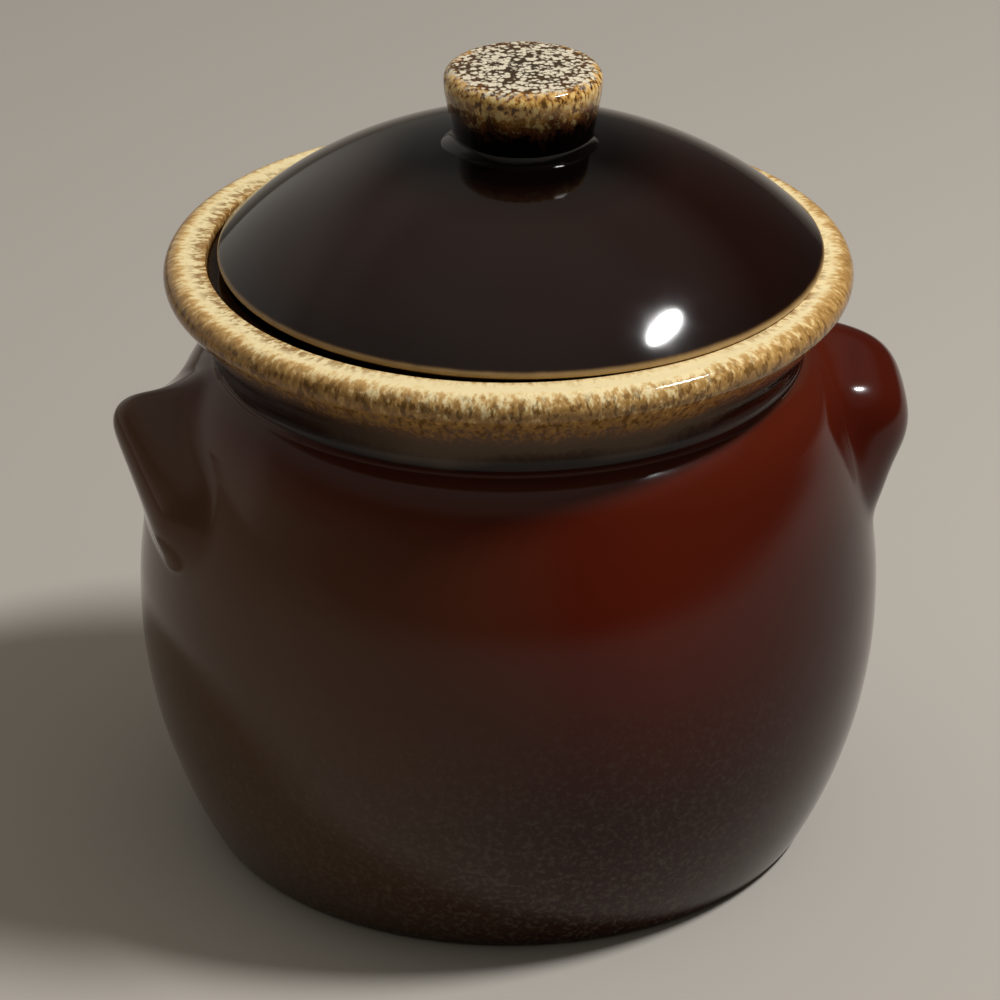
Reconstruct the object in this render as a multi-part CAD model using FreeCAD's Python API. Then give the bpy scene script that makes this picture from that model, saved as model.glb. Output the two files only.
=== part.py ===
import FreeCAD, Part
import math
import os

# Two-quart stoneware bean pot with a loose domed lid.
# Millimetres, +Z up, origin at the centre of the foot, lugs along X, front towards -Y.

# Pot body
body_radius = 85.0  # outside, at the belly
belly_height = 56.0  # where the body is widest
foot_radius = 70.0  # where the wall would meet the table if the edge were sharp
foot_round = 3.0
foot_ring_width = 8.0
foot_recess = 1.5
wall = 5.5
floor_thickness = 7.0
floor_round = 12.0  # inside, where the wall turns into the floor
shoulder_inset = 10.2  # from the belly's radius to where the shoulder starts to turn in
shoulder_drop = 10.0  # from the crease down to there
neck_height = 116.0  # the crease under the collar
neck_inset = 3.0  # inside, from the throat in to the neck
neck_slip = 1.8  # inside, from the crease's height down to the narrowest place
neck_round = 2.5

# Collar and the rolled rim on top of it
throat_radius = 63.5  # the straight bore that takes the lid's flange
throat_length = 9.5
collar_height = 23.0  # from the crease to the top of the rim
flare_radius = 12.0  # of the bend from the crease out into the collar
roll_radius = 3.7
rim_width = 8.6  # from the lip out to the roll's widest
ledge_width = 3.7  # the step that the lid rests on
ledge_round = 0.8
seat_depth = 2.5  # from the top of the rim down to the ledge
lip_width = 1.4  # from the ledge's outer edge out to the lip
lip_drop = 1.0
lip_round = 0.9

# Lid
lid_overhang = 0.6  # past the ledge's outer edge when the lid is centred
lid_wall = 4.5
lid_edge_round = 0.8
lid_step = 2.5  # from the seating ring up to the underside of the edge
dome_height = 30.5  # from the seating ring to the crown
dome_radius = 99.0  # of the crown's curve
dome_turn = 11.8  # from the edge in to where the crown turns down towards it
flange_wall = 4.5
flange_depth = 8.0
flange_round = 1.5
flange_play = 3.1  # all round, between the lid's flange and the throat
ring_play = 1.0  # between the seating ring and the ledge's outer edge, lid pushed over
bore_round = 3.0  # inside, where the flange meets the dome

# Knob
knob_radius = 17.5
knob_base_radius = 16.0
knob_height = 15.9  # above the crown of the lid
knob_top_drop = 3.1  # from the knob's top to its widest ring
knob_crown_drop = 0.8  # from the middle of the top to where its edge turns down
knob_flare = 1.8  # height and width of the clay skirt at the base

# Lugs
lug_reach = 5.5  # beyond the belly
lug_root = 1.5  # inside the crease, where the lug starts
lug_half_width = 30.0
lug_drop = 2.5  # from the crease down to the lug's top
lug_height = 36.0
lug_ridge_round = 7.0
lug_lobe_round = 10.5
lug_steps = [
    # share of the way out to the tip; of the width, the ridge's drop, the lift and the rounding
    (0.00, 1.00, 0.00, 0.00, 1.00),
    (0.46, 0.99, 0.01, 0.01, 1.00),
    (0.69, 0.88, 0.06, 0.13, 0.80),
    (0.85, 0.60, 0.10, 0.27, 0.58),
    (0.95, 0.32, 0.17, 0.40, 0.38),
    (1.00, 0.15, 0.24, 0.50, 0.22),
]

# Clearances
rest_gap = 0.3  # between the lid and the pot where they would touch

neck_radius = throat_radius - neck_inset + wall
shoulder_radius = body_radius - shoulder_inset
shoulder_height = neck_height - shoulder_drop
rim_height = neck_height + collar_height
seat_radius = throat_radius + ledge_width
seat_height = rim_height - seat_depth
lip_radius = seat_radius + lip_width
collar_radius = lip_radius + rim_width
lid_radius = seat_radius + lid_overhang
flange_radius = throat_radius - flange_play
lid_shift = flange_play - rest_gap  # the lid lies pushed over to its stop, towards +X
lid_base = seat_height + rest_gap
crown_height = lid_base + dome_height


def at(radius, height):
    return FreeCAD.Vector(radius, 0, height)


def polar(centre, radius, degrees):
    angle = math.radians(degrees)
    return at(centre.x + radius * math.cos(angle), centre.z + radius * math.sin(angle))


def bearing(start, end):
    return math.degrees(math.atan2(end.z - start.z, end.x - start.x))


def line(start, end):
    return Part.LineSegment(start, end).toShape()


def arc_about(centre, radius, start_degrees, end_degrees):
    middle = (start_degrees + end_degrees) / 2
    points = [polar(centre, radius, a) for a in (start_degrees, middle, end_degrees)]
    return Part.Arc(*points).toShape()


def tangent_arc(start, heading, end):
    # The arc that leaves start along heading (degrees) and ends at end.
    chord = bearing(start, end)
    half_turn = math.radians(chord - heading)
    length = start.distanceToPoint(end)
    rise = length / 2 * math.tan(half_turn / 2)
    middle = polar((start + end) * 0.5, -rise, chord + 90)
    return Part.Arc(start, middle, end).toShape()


def bow_radius(inset, rise):
    # The circle that stands upright at the belly and is inset by so much at that rise.
    return (inset ** 2 + rise ** 2) / (2 * inset)


def rounded_foot(centre, radius, level, round_radius):
    # The rounding between a bowed wall and the flat below it: wall point, edge, flat point.
    drop = centre.z - level - round_radius
    out = math.sqrt((radius - round_radius) ** 2 - drop ** 2)
    middle = at(centre.x + out, level + round_radius)
    wall_angle = bearing(centre, middle)
    edge = arc_about(middle, round_radius, wall_angle, -90)
    return polar(centre, radius, wall_angle), edge, polar(middle, round_radius, -90)


def spin(edges):
    face = Part.Face(Part.Wire(Part.__sortEdges__(edges)))
    return face.revolve(FreeCAD.Vector(0, 0, 0), FreeCAD.Vector(0, 0, 1), 360)


def soften(shape, radius, height, round_radius):
    # Rounds the full ring that has this radius at this height, and leaves the seams alone.
    rings = []
    for edge in shape.Edges:
        middle = edge.valueAt((edge.FirstParameter + edge.LastParameter) / 2)
        ring_radius = math.hypot(middle.x, middle.y)
        if edge.Length > 3 * radius and abs(ring_radius - radius) < 0.01:
            if abs(middle.z - height) < 0.01:
                rings.append(edge)
    return shape.makeFillet(round_radius, rings)


lower_bow = bow_radius(body_radius - foot_radius, belly_height)
upper_bow = bow_radius(body_radius - shoulder_radius, shoulder_height - belly_height)
lower_centre = at(body_radius - lower_bow, belly_height)
upper_centre = at(body_radius - upper_bow, belly_height)
shoulder_angle = bearing(upper_centre, at(shoulder_radius, shoulder_height))
roll_centre = at(collar_radius - roll_radius, rim_height - roll_radius)


def pot_outside():
    # Foot, belly, shoulder, crease, collar and rolled rim, closed along the axis.
    foot_wall, foot_edge, foot_flat = rounded_foot(lower_centre, lower_bow, 0, foot_round)
    shoulder = polar(upper_centre, upper_bow, shoulder_angle)
    neck = at(neck_radius, neck_height)
    flare_centre = at(neck_radius + flare_radius, neck_height)
    span = flare_centre.distanceToPoint(roll_centre)
    lean = math.degrees(math.acos((flare_radius + roll_radius) / span))
    flare_angle = bearing(flare_centre, roll_centre) + lean
    flare = polar(flare_centre, flare_radius, flare_angle)
    collar = polar(roll_centre, roll_radius, flare_angle - 180)
    crest = polar(roll_centre, roll_radius, 90)
    lip = at(lip_radius, rim_height - lip_drop)
    seat = at(seat_radius, seat_height)
    edges = [
        line(at(0, 0), foot_flat),
        foot_edge,
        arc_about(lower_centre, lower_bow, bearing(lower_centre, foot_wall), 0),
        arc_about(upper_centre, upper_bow, 0, shoulder_angle),
        tangent_arc(shoulder, shoulder_angle + 90, neck),
        arc_about(flare_centre, flare_radius, 180, flare_angle),
        line(flare, collar),
        arc_about(roll_centre, roll_radius, flare_angle - 180, 90),
        tangent_arc(crest, 180, lip),
        line(lip, seat),
        line(seat, at(0, seat_height)),
        line(at(0, seat_height), at(0, 0)),
    ]
    outside = soften(spin(edges), neck_radius, neck_height, neck_round)
    return soften(outside, lip.x, lip.z, lip_round)


def pot_inside():
    # The hollow: straight throat, neck, and the wall's inner face down to the floor.
    floor_wall, floor_edge, floor_flat = rounded_foot(
        lower_centre, lower_bow - wall, floor_thickness, floor_round)
    shoulder = polar(upper_centre, upper_bow - wall, shoulder_angle)
    neck = at(neck_radius - wall, neck_height - neck_slip)
    throat = at(throat_radius, seat_height - throat_length)
    top = rim_height + rest_gap
    edges = [
        line(at(0, floor_thickness), floor_flat),
        floor_edge,
        arc_about(lower_centre, lower_bow - wall, bearing(lower_centre, floor_wall), 0),
        arc_about(upper_centre, upper_bow - wall, 0, shoulder_angle),
        tangent_arc(shoulder, shoulder_angle + 90, neck),
        line(neck, throat),
        line(throat, at(throat_radius, top)),
        line(at(throat_radius, top), at(0, top)),
        line(at(0, top), at(0, floor_thickness)),
    ]
    return soften(spin(edges), neck.x, neck.z, neck_round)


def pot_body():
    foot_flat = rounded_foot(lower_centre, lower_bow, 0, foot_round)[2]
    recess_radius = foot_flat.x - foot_ring_width
    recess = Part.makeCone(recess_radius + foot_recess, recess_radius, foot_recess)
    hollow = pot_outside().cut(pot_inside()).cut(recess)
    return soften(hollow, throat_radius, seat_height, ledge_round)


def round_triangle(reach, circles):
    # The wire pulled tight round three circles (y, z, radius), given anticlockwise.
    ends = []
    for (y1, z1, r1), (y2, z2, r2) in zip(circles, circles[1:] + circles[:1]):
        lean = math.asin((r1 - r2) / math.hypot(y2 - y1, z2 - z1))
        normal = math.atan2(z2 - z1, y2 - y1) - math.pi / 2 + lean
        ends.append((normal, (y1, z1, r1), (y2, z2, r2)))
    edges = []
    for i, (normal, first, second) in enumerate(ends):
        before = ends[i - 1][0]
        middle = before + (normal - before) % (2 * math.pi) / 2
        points = [around(reach, first, a) for a in (before, middle, normal)]
        edges.append(Part.Arc(*points).toShape())
        edges.append(line(points[2], around(reach, second, normal)))
    return Part.Wire(edges)


def around(reach, circle, angle):
    y, z, radius = circle
    return FreeCAD.Vector(reach, y + radius * math.cos(angle), z + radius * math.sin(angle))


def lug_right():
    # A tab that stands on the shoulder: broad at its root, drawn in to a blunt tip.
    root = neck_radius - lug_root
    length = body_radius + lug_reach - root
    top = neck_height - lug_drop
    sections = []
    for out, width, drop, lift, rounding in lug_steps:
        ridge = lug_ridge_round * rounding
        lobe = lug_lobe_round * rounding
        side = lug_half_width * width - lobe
        high = top - lug_height * drop - ridge
        low = top - lug_height * (1 - lift) + lobe
        circles = [(0, high, ridge), (-side, low, lobe), (side, low, lobe)]
        sections.append(round_triangle(root + length * out, circles))
    return Part.makeLoft(sections, True, False).cut(pot_outside())


def lid_outside():
    # Seating ring, chamfer, rounded edge and dome, closed along the axis.
    edge_centre = at(lid_radius - lid_edge_round, lid_base + lid_step + lid_edge_round)
    edge_top = polar(edge_centre, lid_edge_round, 45)
    crown_centre = at(0, crown_height - dome_radius)
    turn_angle = math.degrees(math.acos((lid_radius - dome_turn) / dome_radius))
    turn = polar(crown_centre, dome_radius, turn_angle)
    ring = at(seat_radius - lid_shift - ring_play, lid_base)
    edges = [
        line(at(0, lid_base), ring),
        line(ring, polar(edge_centre, lid_edge_round, -90)),
        arc_about(edge_centre, lid_edge_round, -90, 45),
        tangent_arc(turn, turn_angle - 90, edge_top),
        arc_about(crown_centre, dome_radius, turn_angle, 90),
        line(at(0, crown_height), at(0, lid_base)),
    ]
    return spin(edges)


def lid_inside():
    # The hollow under the dome, down through the flange.
    bore = flange_radius - flange_wall
    inner_radius = dome_radius - lid_wall
    crown_centre = at(0, crown_height - dome_radius)
    bore_angle = math.degrees(math.acos(bore / inner_radius))
    bore_top = polar(crown_centre, inner_radius, bore_angle)
    low = lid_base - flange_depth - rest_gap
    edges = [
        arc_about(crown_centre, inner_radius, bore_angle, 90),
        line(bore_top, at(bore, low)),
        line(at(bore, low), at(0, low)),
        line(at(0, low), at(0, crown_height - lid_wall)),
    ]
    return soften(spin(edges), bore, bore_top.z, bore_round)


def lid_shell():
    flange = Part.makeCylinder(flange_radius, flange_depth, at(0, lid_base - flange_depth))
    flange = soften(flange, flange_radius, lid_base - flange_depth, flange_round)
    return lid_outside().fuse(flange).cut(lid_inside()).removeSplitter()


def lid_knob():
    # A low drum with a slightly crowned top and a skirt of clay where it joins the dome.
    top = crown_height + knob_height
    widest = at(knob_radius, top - knob_top_drop)
    crown_edge = at(knob_radius - knob_top_drop, top - knob_crown_drop)
    waist = at(knob_base_radius, crown_height + knob_flare)
    skirt = at(knob_base_radius + knob_flare, crown_height - knob_flare / 2)
    dome_drop = dome_radius - math.sqrt(dome_radius ** 2 - skirt.x ** 2)
    buried = crown_height - dome_drop - knob_flare  # well inside the dome, which is then cut away
    edges = [
        tangent_arc(at(0, top), 0, crown_edge),
        tangent_arc(widest, 90, crown_edge),
        line(widest, waist),
        tangent_arc(waist, -90, skirt),
        line(skirt, at(skirt.x, buried)),
        line(at(skirt.x, buried), at(0, buried)),
        line(at(0, buried), at(0, top)),
    ]
    return spin(edges).cut(lid_outside())


right = lug_right()
over = FreeCAD.Vector(lid_shift, 0, 0)
nodes = {
    "pot_body": pot_body(),
    "lug_handle_right": right,
    "lug_handle_left": right.mirror(FreeCAD.Vector(0, 0, 0), FreeCAD.Vector(1, 0, 0)),
    "lid_shell": lid_shell().translated(over),
    "lid_knob": lid_knob().translated(over),
}

os.makedirs("parts", exist_ok=True)
for name, shape in nodes.items():
    shape.exportStep("parts/" + name + ".step")
    box = shape.optimalBoundingBox(False)
    print(name, len(shape.Solids), "solid", shape.isValid(), round(shape.Volume / 1000, 1), "cm3",
          [round(n, 2) for n in (box.XMin, box.XMax, box.YMin, box.YMax, box.ZMin, box.ZMax)])
contents = pot_inside().common(Part.makeCylinder(body_radius, neck_height))
print("holds, up to the neck,", round(contents.Volume / 1e6, 3), "litres")
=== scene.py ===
import math
import bpy
import numpy as np
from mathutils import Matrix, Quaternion, Vector


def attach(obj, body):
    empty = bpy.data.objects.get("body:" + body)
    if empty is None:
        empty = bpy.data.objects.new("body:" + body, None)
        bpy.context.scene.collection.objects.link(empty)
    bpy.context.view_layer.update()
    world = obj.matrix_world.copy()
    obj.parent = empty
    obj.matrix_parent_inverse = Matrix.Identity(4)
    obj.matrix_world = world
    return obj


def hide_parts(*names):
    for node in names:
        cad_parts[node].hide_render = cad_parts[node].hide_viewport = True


# Glazed stoneware bean pot with a loose domed lid. Profiles are in millimetres, meshes in metres.
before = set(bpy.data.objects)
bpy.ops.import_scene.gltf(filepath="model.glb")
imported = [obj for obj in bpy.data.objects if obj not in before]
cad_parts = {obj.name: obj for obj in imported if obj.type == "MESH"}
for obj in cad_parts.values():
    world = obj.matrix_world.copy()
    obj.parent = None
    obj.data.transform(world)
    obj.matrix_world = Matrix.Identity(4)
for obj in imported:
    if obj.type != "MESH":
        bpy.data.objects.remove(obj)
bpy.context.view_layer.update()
scene = bpy.context.scene
millimetre = 0.001  # in metres


# Drawing a thrown profile: runs of (radius, height) points

def lineRun(start, end, step=1.2):
    count = max(2, math.ceil(math.dist(start, end) / step) + 1)
    return np.linspace(start, end, count)


def arcRun(centre, radius, startAngle, endAngle, step=1.2):
    count = max(5, math.ceil(abs(math.radians(endAngle - startAngle)) * radius / step) + 1)
    angles = np.radians(np.linspace(startAngle, endAngle, count))
    return np.column_stack([centre[0] + radius * np.cos(angles), centre[1] + radius * np.sin(angles)])


def tangentRun(start, heading, end, step=1.2):
    # the arc that leaves start along heading (degrees) and ends at end
    half = math.atan2(end[1] - start[1], end[0] - start[0]) - math.radians(heading)
    half = (half + math.pi) % (2 * math.pi) - math.pi
    radius = math.dist(start, end) / (2 * math.sin(half))
    lean = math.radians(heading)
    centre = (start[0] - radius * math.sin(lean), start[1] + radius * math.cos(lean))
    first = math.degrees(math.atan2(start[1] - centre[1], start[0] - centre[0]))
    return arcRun(centre, abs(radius), first, first + math.degrees(2 * half), step)


def walked(run):
    return np.concatenate([[0], np.cumsum(np.hypot(*np.diff(run, axis=0).T))])


def trimRun(run, cut):
    # the run without its last cut millimetres
    along = walked(run)
    keep = max(along[-1] - cut, 0.02)
    i = int(np.searchsorted(along, keep))
    share = (keep - along[i - 1]) / (along[i] - along[i - 1])
    return np.vstack([run[:i], run[i - 1] + share * (run[i] - run[i - 1])])


def headingOf(a, b):
    return (b - a) / np.hypot(*(b - a))


def softCorner(first, second, radius):
    # bridges two runs with a round, as a sponge leaves an edge
    turn = math.acos(np.clip(headingOf(first[-2], first[-1]) @ headingOf(second[0], second[1]), -1, 1))
    cut = radius * math.tan(turn / 2)
    first = trimRun(first, cut)
    second = trimRun(second[::-1], cut)[::-1]
    leave = headingOf(first[-2], first[-1])
    arrive = headingOf(second[0], second[1])
    turn = math.acos(np.clip(leave @ arrive, -1, 1))
    chord = math.dist(first[-1], second[0])
    handle = chord * 4 / 3 * math.tan(turn / 4) / (2 * math.sin(turn / 2))
    count = max(6, math.ceil(chord / 0.35))
    t = np.linspace(0, 1, count + 1)[:, None]
    a, d = first[-1], second[0]
    b, c = a + handle * leave, d - handle * arrive
    bridge = (1 - t) ** 3 * a + 3 * (1 - t) ** 2 * t * b + 3 * (1 - t) * t ** 2 * c + t ** 3 * d
    return np.vstack([first, bridge[1:-1], second])


def joinRuns(parts):
    # runs in order, with a corner radius between two runs that meet at an edge
    path = parts[0]
    radius = 0
    for part in parts[1:]:
        if np.isscalar(part):
            radius = part
            continue
        path = softCorner(path, part, radius) if radius else np.vstack([path, part])
        radius = 0
    steps = np.hypot(*np.diff(path, axis=0).T)
    return path[np.concatenate([[True], steps > 0.01])]


def addMesh(name, points, faces, flow, material):
    # flow is each point's place round and down the clay, which the glaze pattern follows
    mesh = bpy.data.meshes.new(name)
    mesh.from_pydata((np.asarray(points) * millimetre).tolist(), [], faces)
    mesh.materials.append(material)
    layer = mesh.attributes.new("flow", "FLOAT_VECTOR", "POINT")
    layer.data.foreach_set("vector", np.asarray(flow, dtype=np.float32).ravel())
    mesh.polygons.foreach_set("use_smooth", [True] * len(mesh.polygons))
    mesh.validate()
    mesh.update()
    piece = bpy.data.objects.new(name, mesh)
    scene.collection.objects.link(piece)
    return piece


def throwPiece(name, profile, along, material, segments, girth, centreX=0.0, wobble=None):
    # turns a profile about the wheel's axis; along is the distance down the slope at each point, and girth is
    # the radius that the glaze pattern is wrapped round
    profile = np.array(profile, dtype=float)
    angles = np.linspace(0, 2 * math.pi, segments, endpoint=False)
    closedStart, closedEnd = profile[0][0] < 1e-6, profile[-1][0] < 1e-6
    body = profile[int(closedStart):len(profile) - int(closedEnd)]
    slope = along[int(closedStart):len(profile) - int(closedEnd)]
    radius = np.repeat(body[:, :1], segments, axis=1)
    height = np.repeat(body[:, 1:], segments, axis=1)
    if wobble:
        radius = radius - wobble(angles[None, :], body[:, 1:], slope[:, None])
    points = np.stack([centreX + radius * np.cos(angles), radius * np.sin(angles), height], axis=-1)
    points = points.reshape(-1, 3)
    flow = np.stack([np.repeat(girth * np.cos(angles)[None], len(body), 0),
                     np.repeat(girth * np.sin(angles)[None], len(body), 0),
                     np.repeat(slope[:, None], segments, 1)], axis=-1).reshape(-1, 3)
    rings = np.arange(len(body) * segments).reshape(len(body), segments)
    turned = np.roll(rings, -1, axis=1)
    faces = np.stack([rings[:-1], turned[:-1], turned[1:], rings[1:]], axis=-1).reshape(-1, 4).tolist()
    if closedStart:
        points = np.vstack([points, [centreX, 0, profile[0][1]]])
        flow = np.vstack([flow, [0, 0, along[0]]])
        faces += [[len(points) - 1, int(b), int(a)] for a, b in zip(rings[0], turned[0])]
    if closedEnd:
        points = np.vstack([points, [centreX, 0, profile[-1][1]]])
        flow = np.vstack([flow, [0, 0, along[-1]]])
        faces += [[len(points) - 1, int(a), int(b)] for a, b in zip(rings[-1], turned[-1])]
    return addMesh(name, points, faces, flow, material)


# Colours and nodes

def linear(hexColour):
    parts = [int(hexColour[i:i + 2], 16) / 255 for i in (1, 3, 5)]
    return [c / 12.92 if c <= 0.04045 else ((c + 0.055) / 1.055) ** 2.4 for c in parts] + [1.0]


def addNode(tree, kind, inputs=None, give=None, stops=None, **settings):
    # an input is a value, a hex colour or another node's socket, and give names the output handed back
    node = tree.nodes.new("ShaderNode" + kind)
    for name, value in settings.items():
        setattr(node, name, value)
    for name, value in (inputs or {}).items():
        if isinstance(value, bpy.types.NodeSocket):
            tree.links.new(value, node.inputs[name])
        else:
            node.inputs[name].default_value = linear(value) if isinstance(value, str) else value
    for i, (place, colour) in enumerate(stops or []):
        # stops are placed in the pattern's own unit, and a bare number is a grey level
        spot = (place - stops[0][0]) / (stops[-1][0] - stops[0][0])
        element = node.color_ramp.elements[i] if i < 2 else node.color_ramp.elements.new(spot)
        element.position = spot
        element.color = linear(colour) if isinstance(colour, str) else (colour, colour, colour, 1)
    return node if give is None else node.outputs[give]


def newMaterial(name):
    material = bpy.data.materials.new(name)
    material.use_nodes = True
    tree = material.node_tree
    tree.nodes.clear()
    return material, tree


def mottle(tree, vector, size, stretch=1.0, detail=2.0, roughness=0.5):
    # glaze mottling whose blobs are about size mm across, and stretch times longer down the slope; its level
    # stays near a half, so what reads it spreads about 0.35 to 0.65 over its own whole range
    scale = (1 / size, 1 / size, 1 / size / stretch)
    scaled = addNode(tree, "Mapping", {"Vector": vector, "Scale": scale}, "Vector")
    return addNode(tree, "TexNoise", {
        "Vector": scaled, "Scale": 0.5, "Detail": detail, "Roughness": roughness}, "Fac")


def overlay(tree, base, colour, *shares):
    # lays one glaze colour over another where every share is high
    share = shares[0]
    for other in shares[1:]:
        share = addNode(tree, "Math", {0: share, 1: other}, 0, operation="MULTIPLY")
    return addNode(tree, "Mix", {0: share, 6: base, 7: colour}, 2, data_type="RGBA")


def readBands(tree, value, bands, blend="LINEAR"):
    # the colour or level that a list of places and colours gives at value
    along = addNode(tree, "MapRange", {0: value, 1: bands[0][0], 2: bands[-1][0]}, 0)
    ramp = addNode(tree, "ValToRGB", {0: along}, None, bands)
    ramp.color_ramp.interpolation = blend
    return ramp.outputs["Color"]


def glazeCoordinates(tree):
    # a point's place round and down the clay, its place in space, and its distance down the slope, all in mm
    flow = addNode(tree, "Attribute", give="Vector", attribute_name="flow")
    place = addNode(tree, "TexCoord", give="Object")
    solid = addNode(tree, "VectorMath", {0: place, 1: (1000, 1000, 1000)}, 0, operation="MULTIPLY")
    slope = addNode(tree, "SeparateXYZ", {0: flow}, "Z")
    return flow, solid, slope


# Pot glaze: brown slip glaze on stoneware, dipped and fired. Mirror bright, red where it is thick on the
# shoulder, and it breaks to tan and cream granules where it runs thin on the rim. Light is painted in as
# well: a painted highlight along the crest, painted shade in and below the crease, under the roll at the
# sides and on the right, and painted reflection on the left and in grey specks low down.
potFinish = {
    "bands": [  # mm down the slope from the crest of the rim, colour
        # the palest cream round the crest is thin glaze, made paler as a painted highlight along the crest
        (-12.0, "#1c110a"), (-9.0, "#3a2412"), (-7.2, "#6b4a26"), (-6.2, "#a37c45"), (-5.4, "#dcc08a"),
        (-3.4, "#f3e0ad"), (-0.6, "#f8e4b1"), (1.0, "#efd69e"), (3.2, "#cfa76a"), (5.8, "#b38a4f"),
        (9.0, "#a67e48"), (12.0, "#9d7849"), (14.4, "#93704d"), (16.6, "#7d604b"), (19.0, "#6b5a4b"),
        # the dark bands from 27 to 28.4 mm are painted shade in the crease
        (24.0, "#645547"), (27.0, "#43332a"), (28.4, "#1c110d"), (30.0, "#2a100a"), (34.0, "#521a0c"),
        (60.0, "#571b0c")],
    "granule": 0.62,  # mm across, the size seen on the real rim
    "clump": 2.6, "cloud": 14.0,  # mm across
    "reach": [  # how far granules move the bands at each mm down the slope, as a share of reachMost
        (-8.0, 0.1), (-5.0, 0.2), (-2.0, 0.3), (0.5, 0.42), (3.0, 0.7), (7.0, 0.95), (13.0, 1.0),
        (16.5, 0.5), (21.0, 0.2), (27.0, 0.0)],
    "reachMost": 4.6, "clumpShift": 1.3, "drift": 1.6,  # mm, for granules, clumps and clouds
    "fades": {  # what each is read from, two places in mm, and its level at each
        "leftRunAndShade": ("sideways", -76.0, -36.0, 7.0, 0.0),  # mm that the bands are pushed: partly glaze that ran further, partly painted shade under the roll
        "rightRunAndShade": ("sideways", 20.0, 68.0, 0.0, 7.0),
        "outer": ("slope", -4.0, 12.0, 0.0, 1.4),
        "inner": ("slope", -1.2, -3.4, 0.0, 1.0),
        "innerEnd": ("slope", -7.0, -5.6, 0.0, 1.0),
        "away": ("outward", 30.0, 55.0, 0.0, 1.0),
        "onFace": ("slope", 0.4, 4.0, 0.0, 1.0),
        "lowFace": ("slope", 11.0, 17.0, 0.0, 0.85),
        "aboveCrease": ("slope", 29.5, 27.5, 0.0, 1.0),
        "below": ("slope", 27.8, 28.8, 0.0, 1.0),
        "shadeEnd": ("sideways", -25.0, 32.0, 46.0, 31.5),  # mm down the slope where the painted shade below the crease ends, wider on the left
        "onBody": ("slope", 34.0, 46.0, 0.0, 1.0),
        "lower": ("height", 92.0, 36.0, 0.0, 0.9),
        "lowRight": ("height", 106.0, 82.0, 0.5, 0.95),
        "leftward": ("sideways", 0.0, -62.0, 0.0, 0.75),
        "rightward": ("sideways", 18.0, 66.0, 0.0, 1.0),
        "specked": ("height", 72.0, 14.0, 0.0, 0.6),
        "foot": ("height", 0.5, 0.25, 0.0, 1.0),
    },
    "faceEnd": (19.0, 13.0),  # mm down the bands, where the flecks end and where they start to thin
    "shadeFrom": 29.4,  # mm down the slope, where the painted shade below the crease starts
    "thick": "#5a180b",
    # painted shade below the crease
    "shade": "#522619",
    "lowBrown": "#26120c",
    # painted reflection: a greyer brown veil on the left of the body
    "leftReflection": "#5a4533",
    # painted shade: darker red on the right of the body, most of all low down
    "rightShade": "#2a0a05",
    # painted reflection: grey specks low on the body, fewer on the right
    "speck": "#5f5347",
    "bareClay": "#b89a76",
    "gold": "#8a5c24",
    "fleck": "#5f3f1c",
    # painted shade under the roll at both sides
    "sideShade": "#1c0c07",
    "gloss": (0.07, 0.13),  # roughness, least and most
    "waves": 26.0,  # mm, between the slow swells in the glaze
}


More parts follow.
